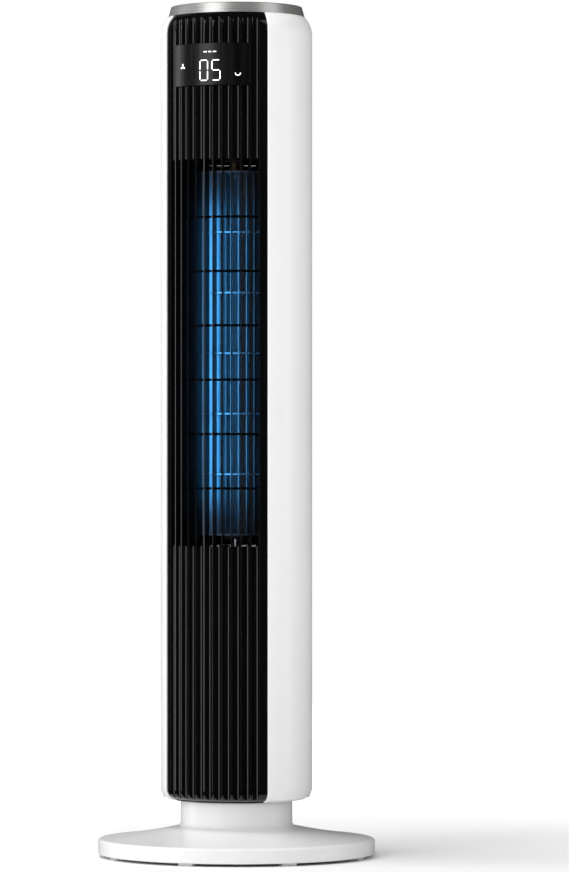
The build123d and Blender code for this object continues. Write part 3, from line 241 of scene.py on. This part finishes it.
# %% Finishes of the inner parts
def grained(name, tone, roughness, scale, depth, spread_by=0.08, tint=0.12, edge=0.0004, **constants):
    """A general finish: a grain, a wandering tone and a wandering roughness."""
    material = new_finish(name, tone, roughness, **constants)
    broad = noise(material, 30.0, detail=4.0)
    vary_colour(material, broad, tuple(c * (1 - tint) for c in tone), tone)
    low, high = max(0.02, roughness - spread_by), min(1.0, roughness + spread_by)
    spread(material, broad, low, high, shader_of(material).inputs["Roughness"])
    grain = noise(material, scale, detail=2.0)
    bump(material, grain, depth, strength=0.5, round_edge=edge)
    return material


FINISHES = {
    "shell_white": SHELL_WHITE,
    "stand_white": STAND_WHITE,
    "insert_black": GRILLE_BLACK,
    "window_black": WINDOW_BLACK,
    "panel_black": PANEL_BLACK,
    "ring_metal": RING_METAL,
    "button_plastic": grained("button_grey_finish", (0.035, 0.036, 0.04), 0.32, 1800, 0.00002),
    "impeller_plastic": grained("impeller_finish", (0.05, 0.055, 0.062), 0.42, 900, 0.00004),
    "dark_plastic": grained("duct_black_finish", (0.022, 0.023, 0.025), 0.5, 1200, 0.00004),
    "foot_rubber": grained("foot_rubber_finish", (0.74, 0.74, 0.73), 0.75, 1500, 0.00005),
    "black_rubber": grained("black_rubber_finish", (0.02, 0.02, 0.021), 0.72, 1500, 0.00005),
    "acetal": grained("acetal_finish", (0.8, 0.79, 0.75), 0.42, 800, 0.00002),
    "steel": grained("steel_finish", (0.6, 0.6, 0.61), 0.3, 700, 0.00002, Metallic=1.0),
    "zinc_steel": grained("zinc_finish", (0.56, 0.57, 0.6), 0.38, 250, 0.00003, tint=0.25, Metallic=1.0),
    "bronze": grained("bronze_finish", (0.16, 0.11, 0.06), 0.5, 1800, 0.00005, Metallic=1.0),
    "copper": grained("copper_wire_finish", (0.55, 0.22, 0.09), 0.35, 1400, 0.0002, Metallic=0.8),
    "cast_iron": grained("cast_iron_finish", (0.05, 0.05, 0.05), 0.7, 350, 0.0003),
    "circuit_board": grained("circuit_board_finish", (0.012, 0.09, 0.04), 0.35, 260, 0.00003),
    "module_white": grained("module_white_finish", (0.7, 0.7, 0.69), 0.45, 900, 0.00002),
}
print("finishes:", len(FINISHES))

# %% [markdown]
# The record says which slot each part takes its finish from, so one loop dresses the whole fan.

# %% Dress the parts
for part in frame["record"]["subparts"]:
    node = NODES[part["node"]]
    node.data.materials.clear()
    node.data.materials.append(FINISHES[part["material_slot"]])

# %% [markdown]
# ## The lit signs on the display
#
# Behind the smoked window two seven-segment digits, a small fan sign and a small arc shine through. They
# could be painted on with a texture, but thin pieces keep their crisp edges at any size. Each sign is
# modelled flat, facing -Y, and is then laid onto the window's round face, so X becomes a distance
# round the tower.


# %% The light of the signs
def sign_light(name, colour, strength):
    """A lit legend: bright, with a slightly uneven glow as light guides have."""
    material = new_finish(name, colour, 0.4)
    shader = shader_of(material)
    shader.inputs["Emission Color"].default_value = (*colour, 1)
    glow = noise(material, 400.0, detail=1.0)
    spread(material, glow, strength * 0.9, strength * 1.1, shader.inputs["Emission Strength"])
    return material


SIGN_WHITE = sign_light("sign_white_light", (0.93, 0.96, 1.0), 1.0)
LEGEND_GREY = grained("legend_print", (0.62, 0.63, 0.65), 0.5, 900, 0.00001)
SIGN_THICK = 0.12 * MM


def select_none():
    """Leaves nothing selected."""
    if bpy.context.object and bpy.context.object.mode != "OBJECT":
        bpy.ops.object.mode_set(mode="OBJECT")
    bpy.ops.object.select_all(action="DESELECT")


def bar(length, width, thick, pointed=0.0):
    """A flat bar along X, centred on the origin, with its ends cut to points if asked."""
    select_none()
    bpy.ops.mesh.primitive_cube_add(size=1, location=(0, 0, 0), scale=(length, thick, width))
    piece = bpy.context.object
    bpy.ops.object.transform_apply(location=True, rotation=True, scale=True)
    if pointed:
        bpy.ops.object.mode_set(mode="EDIT")
        bpy.ops.mesh.select_all(action="SELECT")
        bpy.ops.mesh.bisect(plane_co=(0, 0, 0), plane_no=(0, 0, 1))
        bpy.ops.object.mode_set(mode="OBJECT")
        for vertex in piece.data.vertices:
            if abs(vertex.co.z) > width * 0.25:
                vertex.co.x -= pointed * (1 if vertex.co.x > 0 else -1)
    return piece


def subdivide_along(piece, cuts):
    """Cuts a flat piece across X, so that it can follow a round face."""
    select_none()
    piece.select_set(True)
    bpy.context.view_layer.objects.active = piece
    low = min(v.co.x for v in piece.data.vertices)
    high = max(v.co.x for v in piece.data.vertices)
    bpy.ops.object.mode_set(mode="EDIT")
    for k in range(1, cuts):
        bpy.ops.mesh.select_all(action="SELECT")
        bpy.ops.mesh.bisect(plane_co=(low + (high - low) * k / cuts, 0, 0), plane_no=(1, 0, 0))
    bpy.ops.object.mode_set(mode="OBJECT")
    return piece


def move_flat(piece, x, z, angle=0.0):
    """Turns a flat piece about Y, moves it over the flat sheet, and applies its place."""
    for vertex in piece.data.vertices:
        co = vertex.co.copy()
        vertex.co.x = co.x * cos(angle) - co.z * sin(angle) + x
        vertex.co.z = co.x * sin(angle) + co.z * cos(angle) + z
    return piece


def lay_on_window(piece):
    """Bends a flat piece round the tower, so that its back just meets the window."""
    for vertex in piece.data.vertices:
        reach = WINDOW_R + SIGN_THICK / 2 - vertex.co.y
        turn = vertex.co.x / WINDOW_R
        vertex.co = Vector((reach * sin(turn), -reach * cos(turn), vertex.co.z))
    return piece


def merge(pieces, name):
    """Joins pieces into one object with this name."""
    select_none()
    for piece in pieces:
        piece.select_set(True)
    bpy.context.view_layer.objects.active = pieces[0]
    if len(pieces) > 1:
        bpy.ops.object.join()
    joined = bpy.context.object
    joined.name = name
    joined.data.name = name
    return joined


def tidy_mesh(piece):
    """Merges doubles and points every face outwards."""
    select_none()
    piece.select_set(True)
    bpy.context.view_layer.objects.active = piece
    bpy.ops.object.mode_set(mode="EDIT")
    bpy.ops.mesh.select_all(action="SELECT")
    bpy.ops.mesh.remove_doubles(threshold=1e-7)
    bpy.ops.mesh.normals_make_consistent(inside=False)
    bpy.ops.object.mode_set(mode="OBJECT")
    return piece


print("flat pieces can be made, moved and laid on the window")

# %% [markdown]
# A seven-segment digit is seven thin bars with pointed ends. The fan shows "05": a nought lights all but
# the middle bar, and a five lights five of them.

# %% Seven-segment digits
DIGIT_W = 9.0 * MM
DIGIT_H = 21.5 * MM
STROKE = 1.15 * MM
DIGIT_GAP = 14.0 * MM
DIGIT_SHIFT = 2.0 * MM
DIGIT_Z = WINDOW_TOP - 29.3 * MM
HALF_W = DIGIT_W / 2
HALF_H = DIGIT_H / 2
SEGMENTS = {
    "top": (0, HALF_H, 0), "middle": (0, 0, 0), "bottom": (0, -HALF_H, 0),
    "upper_left": (-HALF_W, HALF_H / 2, pi / 2), "upper_right": (HALF_W, HALF_H / 2, pi / 2),
    "lower_left": (-HALF_W, -HALF_H / 2, pi / 2), "lower_right": (HALF_W, -HALF_H / 2, pi / 2),
}
NOUGHT = ("top", "upper_left", "upper_right", "lower_left", "lower_right", "bottom")
FIVE = ("top", "upper_left", "middle", "lower_right", "bottom")


def digit(name, lit, x):
    """One digit, lit in the named segments, with its middle at x."""
    pieces = []
    for segment in lit:
        sx, sz, angle = SEGMENTS[segment]
        length = (DIGIT_W if angle == 0 else HALF_H) - 1.5 * MM
        piece = bar(length, STROKE, SIGN_THICK, pointed=STROKE * 0.4)
        if angle == 0:
            subdivide_along(piece, 4)
        pieces.append(move_flat(piece, x + sx, DIGIT_Z + sz, angle))
    joined = tidy_mesh(lay_on_window(merge(pieces, name)))
    joined.data.materials.append(SIGN_WHITE)
    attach(joined, "tower")
    return joined


for digit_piece in (digit("digit_nought", NOUGHT, DIGIT_SHIFT - DIGIT_GAP / 2),
                    digit("digit_five", FIVE, DIGIT_SHIFT + DIGIT_GAP / 2)):
    print(digit_piece.name, len(digit_piece.data.polygons), "faces")

# %% [markdown]
# The fan sign is one rounded blade, copied twice round a small hub. The other sign is an open arc, which
# stands for the swing. Above the digits three short ticks show that the fan is on.


# %% Small signs beside the digits
def disc(radius, thick, segments=24):
    """A flat round piece that faces -Y."""
    select_none()
    bpy.ops.mesh.primitive_cylinder_add(vertices=segments, radius=radius, depth=thick,
                                        rotation=(pi / 2, 0, 0))
    piece = bpy.context.object
    bpy.ops.object.transform_apply(location=True, rotation=True, scale=True)
    return piece


def arc_bar(radius, width, thick, start, sweep, steps=16):
    """A flat arc that faces -Y: a thin bar, cut across and bent round the origin."""
    length = radius * sweep
    piece = subdivide_along(bar(length, width, thick), steps)
    for vertex in piece.data.vertices:
        angle = start + sweep * (0.5 - vertex.co.x / length)
        reach = radius + vertex.co.z
        vertex.co = Vector((reach * cos(angle), vertex.co.y, reach * sin(angle)))
    return piece


def blade_sign():
    """Three rounded blades round a hub."""
    pieces = [disc(0.75 * MM, SIGN_THICK)]
    for k in range(3):
        blade = disc(1.25 * MM, SIGN_THICK)
        for vertex in blade.data.vertices:
            vertex.co.x *= 0.78
        move_flat(blade, 0.35 * MM, 2.0 * MM)
        pieces.append(move_flat(blade, 0, 0, radians(10 + 120 * k)))
    return pieces


def finish_sign(pieces, name, x, z, body="tower"):
    """Places a sign on the window and lights it."""
    joined = merge(pieces, name)
    move_flat(joined, x, z)
    tidy_mesh(lay_on_window(joined))
    joined.data.materials.clear()
    joined.data.materials.append(SIGN_WHITE)
    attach(joined, body)
    print(name, len(joined.data.polygons), "faces")
    return joined


SIGN_TURN = radians(23)
FAN_SIGN_Z = WINDOW_TOP - 24.5 * MM
SWING_SIGN_Z = WINDOW_TOP - 32.5 * MM
TICK_Z = WINDOW_TOP - 9.5 * MM
TICK_LONG = 3.6 * MM
TICK_WIDE = 1.1 * MM
TICK_PITCH = 5.4 * MM
finish_sign(blade_sign(), "fan_sign", -SIGN_TURN * WINDOW_R, FAN_SIGN_Z)
arc = arc_bar(2.7 * MM, 1.0 * MM, SIGN_THICK, radians(180), radians(180))
finish_sign([arc], "swing_sign", SIGN_TURN * WINDOW_R, SWING_SIGN_Z)
TICKS = [move_flat(bar(TICK_LONG, TICK_WIDE, SIGN_THICK), (k - 1) * TICK_PITCH, 0) for k in range(3)]
finish_sign(TICKS, "tick_sign", DIGIT_SHIFT, TICK_Z)

# %% [markdown]
# ## Marks on the buttons
#
# The five buttons carry pad-printed marks, so that they can be told apart: a clock for the timer, waves
# for the mode, the power mark, a fan for the speed and an arrow-less arc for the swing. Each mark is made
# flat like the signs, laid on its button's top, and moves with that button.


# %% Button marks
LINE = 0.5 * MM
WAVE_LINE = 0.45 * MM
WAVE_R = 1.5 * MM
WAVE_ASIDE = 1.3 * MM
WAVE_ROW = 1.3 * MM


def lay_on_button(pieces, name, button, body):
    """Lays a mark that was made facing -Y on a button's top, and lets it move with the button."""
    joined = merge(pieces, name)
    low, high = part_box(button)
    middle = (low + high) / 2
    for vertex in joined.data.vertices:
        x, y, z = vertex.co
        vertex.co = Vector((middle.x + x, middle.y + z, high.z + SIGN_THICK / 2 - y))
    tidy_mesh(joined)
    joined.data.materials.clear()
    joined.data.materials.append(LEGEND_GREY)
    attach(joined, body)
    return joined


def wave(z):
    """One shallow wave: an arc up and an arc down, side by side."""
    rise = arc_bar(WAVE_R, WAVE_LINE, SIGN_THICK, radians(30), radians(120))
    fall = arc_bar(WAVE_R, WAVE_LINE, SIGN_THICK, radians(210), radians(120))
    return [move_flat(rise, -WAVE_ASIDE, z - WAVE_R / 2), move_flat(fall, WAVE_ASIDE, z + WAVE_R / 2)]


MARKS = {
    "timer": [arc_bar(2.9 * MM, LINE, SIGN_THICK, 0, 2 * pi - 0.01, 32),
              move_flat(bar(2.0 * MM, LINE, SIGN_THICK), 0, 0.9 * MM, pi / 2),
              move_flat(bar(1.5 * MM, LINE, SIGN_THICK), 0.7 * MM, 0)],
    "mode": wave(WAVE_ROW) + wave(-WAVE_ROW),
    "power": [arc_bar(2.8 * MM, LINE, SIGN_THICK, radians(125), radians(290), 28),
              move_flat(bar(2.6 * MM, LINE, SIGN_THICK), 0, 2.0 * MM, pi / 2)],
    "speed": blade_sign(),
    "swing": [arc_bar(3.0 * MM, LINE, SIGN_THICK, radians(200), radians(140), 20),
              disc(0.6 * MM, SIGN_THICK)],
}
for key, pieces in MARKS.items():
    mark = lay_on_button(pieces, key + "_mark", key + "_button", key + "_key")
    print(mark.name, len(mark.data.polygons), "faces")

# %% [markdown]
# ## The dust filter
#
# Behind the inlet's slots lies a dark woven filter, which keeps lint off the impeller and stops the light
# that would fall through the fan. It is one thin sheet, cut across so that it can follow the round back,
# and its weave is two crossing waves in the finish, since 0.6 mm threads are too fine to model.


# %% Dust filter
WAVE_PERIOD = 0.314                 # metres from band to band of a wave texture at a scale of 1


def woven(name, tone, pitch):
    """A woven cloth: crossing threads as a bump and as a light and dark pattern."""
    material = new_finish(name, tone, 0.8, Specular_IOR_Level=0.2)
    place = add_node(material, "ShaderNodeTexCoord")
    heights = []
    for axis in ("X", "Z"):
        threads = add_node(material, "ShaderNodeTexWave", Scale=WAVE_PERIOD / pitch, wave_type="BANDS",
                           bands_direction=axis)
        join(material, place.outputs["Object"], threads.inputs["Vector"])
        heights.append(threads.outputs["Fac"])
    weave = add_node(material, "ShaderNodeMath", operation="MULTIPLY")
    join(material, heights[0], weave.inputs[0])
    join(material, heights[1], weave.inputs[1])
    ramp = add_node(material, "ShaderNodeValToRGB")
    ramp.color_ramp.elements[0].color = (*(c * 0.5 for c in tone), 1)
    ramp.color_ramp.elements[1].color = (*tone, 1)
    join(material, weave.outputs["Value"], ramp.inputs["Fac"])
    join(material, ramp.outputs["Color"], shader_of(material).inputs["Base Color"])
    raised = add_node(material, "ShaderNodeBump", Strength=0.6, Distance=0.0002)
    join(material, weave.outputs["Value"], raised.inputs["Height"])
    join(material, raised.outputs["Normal"], shader_of(material).inputs["Normal"])
    return material


INLET_LOW, INLET_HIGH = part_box("inlet_grille")
INLET_Z = (INLET_LOW.z + INLET_HIGH.z) / 2
FILTER_DEPTH = 3.3 * MM
FILTER_MARGIN = 3.0 * MM
FILTER_THICK = 1.0 * MM
FILTER_R = INLET_HIGH.y - FILTER_DEPTH
FILTER_WIDE = INLET_HIGH.x - INLET_LOW.x - FILTER_MARGIN
FILTER_TALL = INLET_HIGH.z - INLET_LOW.z - FILTER_MARGIN
dust_filter = subdivide_along(bar(FILTER_WIDE, FILTER_TALL, FILTER_THICK), 48)
for vertex in dust_filter.data.vertices:
    turn = vertex.co.x / FILTER_R
    reach = FILTER_R + vertex.co.y
    vertex.co = Vector((-reach * sin(turn), reach * cos(turn), vertex.co.z + INLET_Z))
dust_filter.name = "dust_filter"
dust_filter.data.name = "dust_filter"
tidy_mesh(dust_filter)
dust_filter.data.materials.append(woven("filter_cloth_finish", (0.012, 0.013, 0.015), 0.0006))
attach(dust_filter, "tower")
print("dust filter:", len(dust_filter.data.polygons), "faces")

# %% [markdown]
# ## The studio
#
# The fan stands on a pale floor that fades into the white round it, and keeps only a soft shadow to the
# right of the base. A real white sweep is lit by its own lamps, so the floor glows more and more with
# its distance from the fan, and near the fan it is plain matt paper that takes the shadow. The floor
# stays out of reflections, as it would wash the lower grille with grey.


# %% Floor
def studio_floor(size, rounds):
    """A round floor: a disc, inset in rings so that its finish can change smoothly."""
    select_none()
    bpy.ops.mesh.primitive_circle_add(vertices=96, radius=size, fill_type="NGON", location=(0, 0, 0))
    piece = bpy.context.object
    bpy.ops.object.mode_set(mode="EDIT")
    for _ in range(rounds):
        bpy.ops.mesh.inset(thickness=size / (rounds + 2))
    bpy.ops.object.mode_set(mode="OBJECT")
    piece.name = "studio_floor"
    return piece


FLOOR_R = 3.4
FLOOR_RINGS = 6
FLOOR = studio_floor(FLOOR_R, FLOOR_RINGS)
PAPER = new_finish("paper_floor_finish", (0.9, 0.9, 0.9), 0.85, Specular_IOR_Level=0.0)
paper_place = add_node(PAPER, "ShaderNodeTexCoord")
paper_reach = add_node(PAPER, "ShaderNodeVectorMath", operation="LENGTH")
paper_glow = add_node(PAPER, "ShaderNodeMapRange", interpolation_type="SMOOTHSTEP")
for name, value in (("From Min", 0.3), ("From Max", 1.6), ("To Min", 0.0), ("To Max", 0.8)):
    paper_glow.inputs[name].default_value = value
join(PAPER, paper_place.outputs["Object"], paper_reach.inputs[0])
join(PAPER, paper_reach.outputs["Value"], paper_glow.inputs["Value"])
join(PAPER, paper_glow.outputs["Result"], shader_of(PAPER).inputs["Emission Strength"])
shader_of(PAPER).inputs["Emission Color"].default_value = (1, 1, 1, 1)
paper_grain = noise(PAPER, 60.0, detail=3.0)
vary_colour(PAPER, paper_grain, (0.895, 0.895, 0.895), (0.905, 0.905, 0.905))
FLOOR.data.materials.append(PAPER)
FLOOR.visible_glossy = False
print("floor:", len(FLOOR.data.polygons), "faces")

# %% [markdown]
# Tall softboxes stand to the front left, at the left and at the right, with two more high up. They draw
# long thin highlights on the flutes and bands on the brushed ring. Three fill lights brighten the white
# plastic and stay out of reflections. The world is white to the camera, dimmer as soft light and almost
# black in reflections, as black flags make it in a studio: without them glossy black looks grey.


# %% Lights
def area_light(name, azimuth, distance, height, size, size_y, watts, mirrored=True, colour=(1, 1, 1)):
    """A rectangular softbox at an angle round the fan, 0 being its front, aimed at the fan's middle."""
    data = bpy.data.lights.new(name, "AREA")
    data.shape = "RECTANGLE"
    data.size = size
    data.size_y = size_y
    data.energy = watts
    data.color = colour
    light = bpy.data.objects.new(name, data)
    bpy.context.scene.collection.objects.link(light)
    turn = radians(azimuth)
    light.location = (distance * sin(turn), -distance * cos(turn), height)
    light.rotation_euler = (MIDDLE - light.location).to_track_quat("-Z", "Y").to_euler()
    light.visible_glossy = mirrored
    return light


def studio_world(seen, soft, mirrored):
    """A world with one brightness for the view, one for soft light and one for reflections."""
    world = bpy.data.worlds.new("studio_world")
    bpy.context.scene.world = world
    world.use_nodes = True
    nodes, links = world.node_tree.nodes, world.node_tree.links
    path = nodes.new("ShaderNodeLightPath")
    glossy = nodes.new("ShaderNodeMix")
    glossy.inputs["A"].default_value = soft
    glossy.inputs["B"].default_value = mirrored
    view = nodes.new("ShaderNodeMix")
    view.inputs["B"].default_value = seen
    links.new(path.outputs["Is Glossy Ray"], glossy.inputs["Factor"])
    links.new(path.outputs["Is Camera Ray"], view.inputs["Factor"])
    links.new(glossy.outputs["Result"], view.inputs["A"])
    links.new(view.outputs["Result"], nodes["Background"].inputs["Strength"])
    nodes["Background"].inputs["Color"].default_value = (1, 1, 1, 1)
    return world


MIDDLE = Vector((0, 0, 0.46))
area_light("key_softbox", -25, 3.3, 0.9, 1.1, 2.4, 22)
area_light("left_softbox", -80, 3.0, 0.8, 1.0, 2.4, 16)
area_light("right_softbox", 106, 3.2, 0.7, 1.0, 2.2, 11)
area_light("high_left_box", -23, 2.6, 2.6, 1.7, 1.5, 16)
area_light("high_right_box", 87, 2.6, 2.6, 1.5, 1.5, 7)
area_light("front_fill", 5, 3.6, 1.0, 2.0, 2.0, 26, mirrored=False)
area_light("left_fill", -75, 3.2, 1.0, 2.0, 2.0, 16, mirrored=False)
area_light("top_fill", -50, 0.8, 3.2, 1.2, 1.2, 44, mirrored=False)
studio_world(seen=1.0, soft=0.42, mirrored=0.012)
bpy.context.scene.view_settings.view_transform = "Standard"

# %% [markdown]
# A blue glow comes from inside the outlet. Two narrow blue lights stand behind the fins: one shines back
# onto the impeller, and a weaker one shines sideways onto the duct's wall. They are set for the fan at
# rest and stay where they are when the tower swings.

# %% Blue light in the duct
GLOW_BLUE = (0.05, 0.36, 0.78)
GLOW_TALL = 0.75 * (OUTLET_HIGH - OUTLET_LOW)
for name, x, facing, watts in (("duct_glow", 0, 0, 1.3), ("duct_side_glow", -0.005, 75, 0.25)):
    glow = area_light(name, 0, 1.0, 0.0, 0.03, GLOW_TALL, watts, mirrored=False, colour=GLOW_BLUE)
    glow.location = (x, -0.062, (OUTLET_HIGH + OUTLET_LOW) / 2)
    glow.rotation_euler = (pi / 2, 0, radians(facing))
    glow.visible_camera = False
    print(name, "at", tuple(round(c, 3) for c in glow.location))

# %% [markdown]
# ## The camera
#
# A long lens from about five metres away keeps the tower's sides upright. The camera stands 22 degrees to
# the fan's right, a little below half its height, and looks level. The shift moves the frame so that the
# fan stands left of the middle.

# %% Camera
CAMERA_TURN = radians(22)
CAMERA_DISTANCE = 5.2
CAMERA_HEIGHT = 0.419
camera_data = bpy.data.cameras.new("studio_camera")
camera = bpy.data.objects.new("studio_camera", camera_data)
bpy.context.scene.collection.objects.link(camera)
camera.location = (sin(CAMERA_TURN) * CAMERA_DISTANCE, -cos(CAMERA_TURN) * CAMERA_DISTANCE, CAMERA_HEIGHT)
camera.rotation_euler = (pi / 2, 0, CAMERA_TURN)
camera_data.lens = 197.9
camera_data.sensor_width = 36.0
camera_data.shift_x = 0.055
camera_data.shift_y = 0.0387
camera_data.clip_end = 60.0
bpy.context.scene.camera = camera
print("camera at", tuple(round(c, 3) for c in camera.location))
